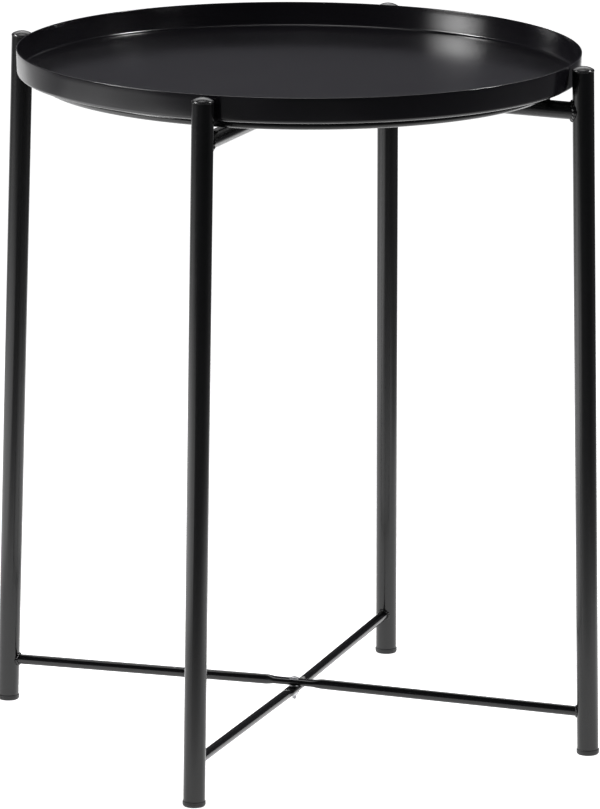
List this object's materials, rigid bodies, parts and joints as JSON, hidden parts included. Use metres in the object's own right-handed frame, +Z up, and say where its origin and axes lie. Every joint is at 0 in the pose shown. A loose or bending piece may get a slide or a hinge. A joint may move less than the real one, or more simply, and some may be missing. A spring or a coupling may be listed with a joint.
{
  "type": "folding tray table",
  "caption": "Round metal tray with a low upright rim, resting on a folding stand of crossing leg frames that share a vertical centre pivot.",
  "frame": {"origin": "centre of the footprint, on the floor", "axes": "+Z up; X runs along leg frame A (left and right legs), Y along leg frame B (front leg at -Y, back leg at +Y)"},
  "size_m": [0.4748, 0.4748, 0.515],
  "materials": {
    "tray_coat": "satin black powder coat",
    "frame_coat": "satin black powder coat",
    "cap_plastic": "gloss black moulded",
    "glide_plastic": "matte black moulded",
    "fastener_steel": "zinc plated"
  },
  "bodies": {
    "frame_a": {"leg_right": "frame_coat", "leg_left": "frame_coat", "leg_cap_right": "cap_plastic", "leg_cap_left": "cap_plastic", "foot_glide_right": "glide_plastic", "foot_glide_left": "glide_plastic", "upper_crossbar_a": "frame_coat", "lower_crossbar_a": "frame_coat", "support_ring": "frame_coat", "upper_pivot_bolt": "fastener_steel", "upper_spacer_washer": "fastener_steel", "upper_nut_washer": "fastener_steel", "upper_pivot_nut": "fastener_steel", "lower_pivot_bolt": "fastener_steel", "lower_spacer_washer": "fastener_steel", "lower_nut_washer": "fastener_steel", "lower_pivot_nut": "fastener_steel"},
    "frame_b": {"leg_back": "frame_coat", "leg_front": "frame_coat", "leg_cap_back": "cap_plastic", "leg_cap_front": "cap_plastic", "foot_glide_back": "glide_plastic", "foot_glide_front": "glide_plastic", "upper_crossbar_b": "frame_coat", "lower_crossbar_b": "frame_coat"},
    "tray": {"tray": "tray_coat"}
  },
  "joints": [
    {"name": "frame_fold", "type": "hinge", "parent": "frame_a", "child": "frame_b", "pos_m": [0, 0, 0.25], "axis": [0, 0, 1], "range_deg": [-70, 70]},
    {"name": "tray_lift", "type": "slide", "parent": "frame_a", "child": "tray", "axis": [0, 0, 1], "range_m": [0, 0.06]}
  ]
}
